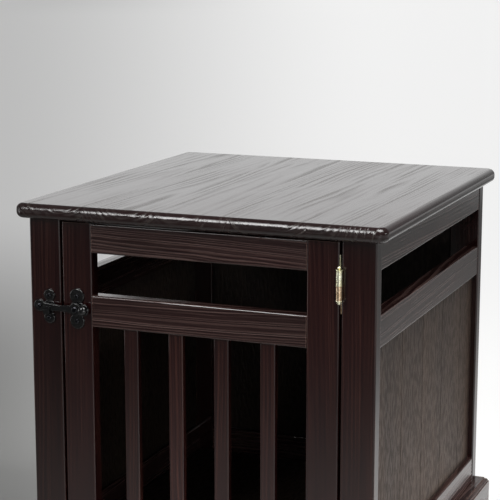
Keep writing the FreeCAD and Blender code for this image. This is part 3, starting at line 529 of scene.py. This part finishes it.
def stained_board(node_name, cut):
    low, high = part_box(node_name)
    size = high - low
    thin, wide, grain = sorted(range(3), key=lambda axis: size[axis])
    trunk = Vector((0, 0, 0))
    trunk[thin] = draws.choice((-1, 1)) * draws.uniform(*cut["off_face"])
    trunk[wide] = draws.choice((-1, 1)) * draws.uniform(*cut["off_edge"])
    trunk[grain] = draws.uniform(-TRUNK_SLIDE, TRUNK_SLIDE)
    tilt = [math.radians(draws.uniform(-TRUNK_TILT, TRUNK_TILT)) for axis in range(3)]
    tone = draws.uniform(*TONES)

    material, tree, surface = new_material("stained_pine_" + node_name)
    place = add(tree, "ShaderNodeTexCoord").outputs["Object"]
    log = add(tree, "ShaderNodeMapping", {"Vector": place, "Location": trunk - (low + high) / 2,
                                          "Rotation": tilt}).outputs["Vector"]
    if cut["staves"]:
        log = split_into_staves(tree, place, log, wide, grain)
    cells = add(tree, "ShaderNodeMapping", {"Vector": log, "Scale": grain_scale(grain, KNOT_ALONG)})
    knots = add(tree, "ShaderNodeTexVoronoi", {"Vector": cells.outputs["Vector"],
                                               "Scale": per_metre(KNOT_CELL_MM)}).outputs["Distance"]
    rings = year_lines(tree, log, grain, cut["ring_mm"], cut["steady"], knots)
    fibre = grain_noise(tree, log, grain, FIBRE_MM, FIBRE_ALONG, FIBRE_DETAIL).outputs["Fac"]
    cloud = grain_noise(tree, log, grain, CLOUD_MM, CLOUD_ALONG, CLOUD_DETAIL).outputs["Fac"]
    streak = add(tree, "ShaderNodeMapRange", {"Value": fibre, "From Min": STREAK_LOW,
                                              "From Max": STREAK_HIGH}).outputs["Result"]
    pale = add(tree, "ShaderNodeMath", {0: streak, 1: STREAK_SHARE, 2: rings},
               operation="MULTIPLY_ADD").outputs["Value"]

    stained = stain_coat(tree, pale, cloud, knots, cut["line"], tone)
    tree.links.new(rubbed_and_highlit_edges(tree, stained), surface.inputs["Base Color"])
    tree.links.new(lacquer_gloss(tree, pale, cloud, cut["gloss"]), surface.inputs["Roughness"])
    tree.links.new(lacquer_relief(tree, rings, fibre, grain, cut["relief"]), surface.inputs["Normal"])
    surface.inputs["IOR"].default_value = LACQUER_IOR
    return material


print("fibres drawn", FIBRE_MM, "mm wide")

# %% [markdown]
# The boards are cut in four ways. The top shows long faint streaks. Rails show bold lines, and posts,
# stiles and slats fine quiet ones. Cleats and corner blocks inside are plain softwood with one coat of
# stain and no polish. A node's mesh stays as it is: only the material in its slot is exchanged.

# %% Boards
TOP_CUT = {"ring_mm": 5, "off_face": (0.05, 0.09), "off_edge": (0, 0.05), "line": "#221A17",
           "gloss": (0.12, 0.28), "relief": 0.06, "steady": 0.15, "staves": True}
RAIL_CUT = {"ring_mm": 4, "off_face": (0.02, 0.06), "off_edge": (0.08, 0.14), "line": "#42312D",
            "gloss": (0.08, 0.34), "relief": 0.22, "steady": 0.6, "staves": False}
POST_CUT = {"ring_mm": 4, "off_face": (0.01, 0.04), "off_edge": (0.1, 0.2), "line": "#2B1612",
            "gloss": (0.09, 0.15), "relief": 0.06, "steady": 0.4, "staves": False}
PLAIN_CUT = {"ring_mm": 5, "off_face": (0.03, 0.06), "off_edge": (0, 0.05), "line": "#5A3F2C",
             "gloss": (0.5, 0.65), "relief": 0.4, "steady": 0.5, "staves": False}
UPRIGHTS = ("post", "stile", "slat")
slot_of = {part["node"]: part["material_slot"] for part in frame["record"]["subparts"]}


def dress(node_name, material):
    mesh = nodes[node_name].data
    mesh.materials.clear()
    mesh.materials.append(material)


def cut_of(node_name):
    if node_name == "top_board":
        return TOP_CUT
    if slot_of[node_name] == "stained_softwood":
        return PLAIN_CUT
    if any(word in node_name for word in UPRIGHTS):
        return POST_CUT
    return RAIL_CUT


boards = sorted(name for name, slot in slot_of.items() if slot in ("stained_pine", "stained_softwood"))
for name in boards:
    dress(name, stained_board(name, cut_of(name)))
print(len(boards), "boards, each from its own trunk")

# %% [markdown]
# The panels and the floor are plywood. Its face is peeled off a turning log, so there are no rings, only
# fine pores along the grain and soft bands. It takes the stain more evenly than pine and is sprayed with
# a thinner, duller coat, so it looks a flat, quiet brown. The pores of the real veneer are under a
# millimetre wide, too fine to show from where the camera stands, so they are drawn about five times as
# coarse.

# %% Veneer of the plywood
PORE_MM, PORE_ALONG = 4, 0.3
BAND_MM, BAND_ALONG = 26, 0.1
VENEER_DETAIL = 3
PORE_START, PORE_FULL, PORE_SHARE = 0.38, 0.62, 0.35
PALE_START, PALE_FULL = 0.35, 1.05


def veneer(tree, place, grain):
    pores = grain_noise(tree, place, grain, PORE_MM, PORE_ALONG, VENEER_DETAIL).outputs["Fac"]
    bands = grain_noise(tree, place, grain, BAND_MM, BAND_ALONG, VENEER_DETAIL).outputs["Fac"]
    open_pore = add(tree, "ShaderNodeMapRange", {"Value": pores, "From Min": PORE_START,
                                                 "From Max": PORE_FULL},
                    interpolation_type="SMOOTHSTEP").outputs["Result"]
    mix = add(tree, "ShaderNodeMath", {0: open_pore, 1: PORE_SHARE, 2: bands}, operation="MULTIPLY_ADD")
    pale = add(tree, "ShaderNodeMapRange", {"Value": mix.outputs["Value"], "From Min": PALE_START,
                                            "From Max": PALE_FULL}, interpolation_type="SMOOTHSTEP")
    return open_pore, pale.outputs["Result"]


print("pores drawn", PORE_MM, "mm wide")

# %% [markdown]
# The V grooves are real cuts in the solids, and stain gathers in them. Dark lines could be drawn along
# them, but the Ambient Occlusion node finds such narrow places by itself, and they are darker there:
# partly gathered stain and partly painted shade, in the grooves and in the corners where the panels meet
# the frame. The side that faces into the crate is painted darker, as painted shade for the dim inside.
# The direction of the normal tells it from the outer side.

# %% Stained plywood
PLY_DARK, PLY_LIGHT = "#231914", "#362920"
HOLLOW_MM, HOLLOW_SAMPLES = 3, 8
HOLLOW_START, HOLLOW_END, HOLLOW_STAIN_AND_SHADE = 0.74, 0.98, 0.04
INWARD, INSIDE_PAINTED_SHADE = -0.5, 0.45
PLY_GLOSS = (0.6, 0.46)
PORE_RELIEF, PORE_DEPTH = 0.8, 0.0005
PLY_IOR, PLY_SPECULAR = 1.45, 0.25


def stained_ply(node_name):
    low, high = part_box(node_name)
    thin = min(range(3), key=lambda axis: high[axis] - low[axis])
    outward = math.copysign(1, (low + high)[thin] - (cad_box[0] + cad_box[1])[thin])
    grain = "XYZ".index("Y" if node_name == "floor_panel" else "Z")
    material, tree, surface = new_material("stained_plywood_" + node_name)
    place = add(tree, "ShaderNodeTexCoord").outputs["Object"]
    open_pore, pale = veneer(tree, place, grain)
    colour = add(tree, "ShaderNodeMix", {FACTOR: pale, COLOUR_A: linear(PLY_DARK),
                                         COLOUR_B: linear(PLY_LIGHT)}, data_type="RGBA").outputs[MIXED]
    # Darker in grooves and corners: gathered stain and painted shade.
    shut = add(tree, "ShaderNodeAmbientOcclusion", {"Distance": HOLLOW_MM / MM_IN_METRE},
               samples=HOLLOW_SAMPLES).outputs["AO"]
    stain_and_painted_shade = add(tree, "ShaderNodeMapRange", {"Value": shut, "From Min": HOLLOW_START, "From Max": HOLLOW_END,
                                              "To Min": HOLLOW_STAIN_AND_SHADE}).outputs["Result"]
    # The face that looks into the crate is darkened as painted shade.
    facing = add(tree, "ShaderNodeNewGeometry").outputs["Normal"]
    facing = add(tree, "ShaderNodeSeparateXYZ", {0: facing}).outputs["XYZ"[thin]]
    inside_painted_shade = add(tree, "ShaderNodeMapRange", {"Value": facing, "From Min": INWARD * outward, "From Max": 0,
                                            "To Min": INSIDE_PAINTED_SHADE}).outputs["Result"]
    shade = add(tree, "ShaderNodeMath", {0: stain_and_painted_shade, 1: inside_painted_shade}, operation="MULTIPLY").outputs["Value"]
    shaded = add(tree, "ShaderNodeVectorMath", {0: colour, "Scale": shade}, operation="SCALE")
    tree.links.new(shaded.outputs["Vector"], surface.inputs["Base Color"])
    gloss = add(tree, "ShaderNodeMapRange", {"Value": open_pore, "To Min": PLY_GLOSS[0],
                                             "To Max": PLY_GLOSS[1]})
    tree.links.new(gloss.outputs["Result"], surface.inputs["Roughness"])
    bump = add(tree, "ShaderNodeBump", {"Height": open_pore, "Strength": PORE_RELIEF,
                                        "Distance": PORE_DEPTH})
    tree.links.new(bump.outputs["Normal"], surface.inputs["Normal"])
    surface.inputs["IOR"].default_value = PLY_IOR
    surface.inputs["Specular IOR Level"].default_value = PLY_SPECULAR
    return material


panels = sorted(name for name, slot in slot_of.items() if slot == "stained_plywood")
for name in panels:
    dress(name, stained_ply(name))
print("plywood:", panels)

# %% [markdown]
# The metals are left. Each is a smooth surface that was made in its own way: turned and polished, cast
# and lacquered, blackened or plated. Handling dulls it in patches, and casting or plating leaves a faint
# grit, which is drawn coarser than it is, because it wouldn't show. They could be five separate trees,
# but they differ only in two colours, the size of the patches, the gloss and the grit, so one function
# makes them.

# %% Metal
DULL_PATCH_LOW, DULL_PATCH_HIGH = 0.35, 0.65
PATCH_DETAIL, GRIT_DETAIL = 4, 2
GRIT_DEPTH = 0.0004


def metal(name, dark, light, patch_mm, rough, metallic, grit_mm, relief):
    material, tree, surface = new_material(name)
    place = add(tree, "ShaderNodeTexCoord").outputs["Object"]
    patches = add(tree, "ShaderNodeTexNoise", {"Vector": place, "Scale": per_metre(patch_mm),
                                               "Detail": PATCH_DETAIL}).outputs["Fac"]
    grit = add(tree, "ShaderNodeTexNoise", {"Vector": place, "Scale": per_metre(grit_mm),
                                            "Detail": GRIT_DETAIL}).outputs["Fac"]
    dull = add(tree, "ShaderNodeMapRange", {"Value": patches, "From Min": DULL_PATCH_LOW,
                                            "From Max": DULL_PATCH_HIGH},
               interpolation_type="SMOOTHSTEP").outputs["Result"]
    colour = add(tree, "ShaderNodeMix", {FACTOR: dull, COLOUR_A: linear(light), COLOUR_B: linear(dark)},
                 data_type="RGBA").outputs[MIXED]
    tree.links.new(colour, surface.inputs["Base Color"])
    gloss = add(tree, "ShaderNodeMapRange", {"Value": dull, "To Min": rough[0], "To Max": rough[1]})
    tree.links.new(gloss.outputs["Result"], surface.inputs["Roughness"])
    bump = add(tree, "ShaderNodeBump", {"Height": grit, "Strength": relief, "Distance": GRIT_DEPTH})
    tree.links.new(bump.outputs["Normal"], surface.inputs["Normal"])
    surface.inputs["Metallic"].default_value = metallic
    return material


print(f"grit up to {GRIT_DEPTH * MM_IN_METRE:.1f} mm")

# %% [markdown]
# The hinges are turned brass: the polish gives pale glints, dulled in patches. In the photograph the half
# on the door is pale and the half on the frame is warmer, so there are two brasses. The latch is cast
# iron under black lacquer: the lacquer is what is seen, so it isn't metallic. It is deep black with small
# sharp glints, which the uneven cast surface breaks up. Its screws are blackened steel, polished by
# handling to a dark grey, and the screws under the top are zinc plated, which looks pale and a little
# milky.

# %% Hinges, latch and screws
finishes = {
    "brass": metal("pale_brass", dark="#D2CDA4", light="#F0EED6", patch_mm=9, rough=(0.2, 0.32),
                   metallic=1, grit_mm=2.5, relief=0.1),
    "black_iron": metal("lacquered_cast_iron", dark="#030303", light="#070708", patch_mm=14,
                        rough=(0.1, 0.2), metallic=0, grit_mm=2.2, relief=0.7),
    "black_screw_steel": metal("blackened_steel", dark="#1A1A1C", light="#3A3A3E", patch_mm=4,
                               rough=(0.12, 0.25), metallic=1, grit_mm=1.5, relief=0.1),
    "zinc_screw_steel": metal("zinc_plated_steel", dark="#A9A89E", light="#CFCEC6", patch_mm=5,
                              rough=(0.25, 0.4), metallic=1, grit_mm=1.5, relief=0.15),
}
warm_brass = metal("warm_brass", dark="#A58A6A", light="#DCC2A4", patch_mm=9, rough=(0.2, 0.32),
                   metallic=1, grit_mm=2.5, relief=0.1)
for name, slot in slot_of.items():
    if "hinge_frame_leaf" in name:
        dress(name, warm_brass)
    elif slot in finishes:
        dress(name, finishes[slot])
print("metal pieces:", sum(slot in finishes for slot in slot_of.values()))
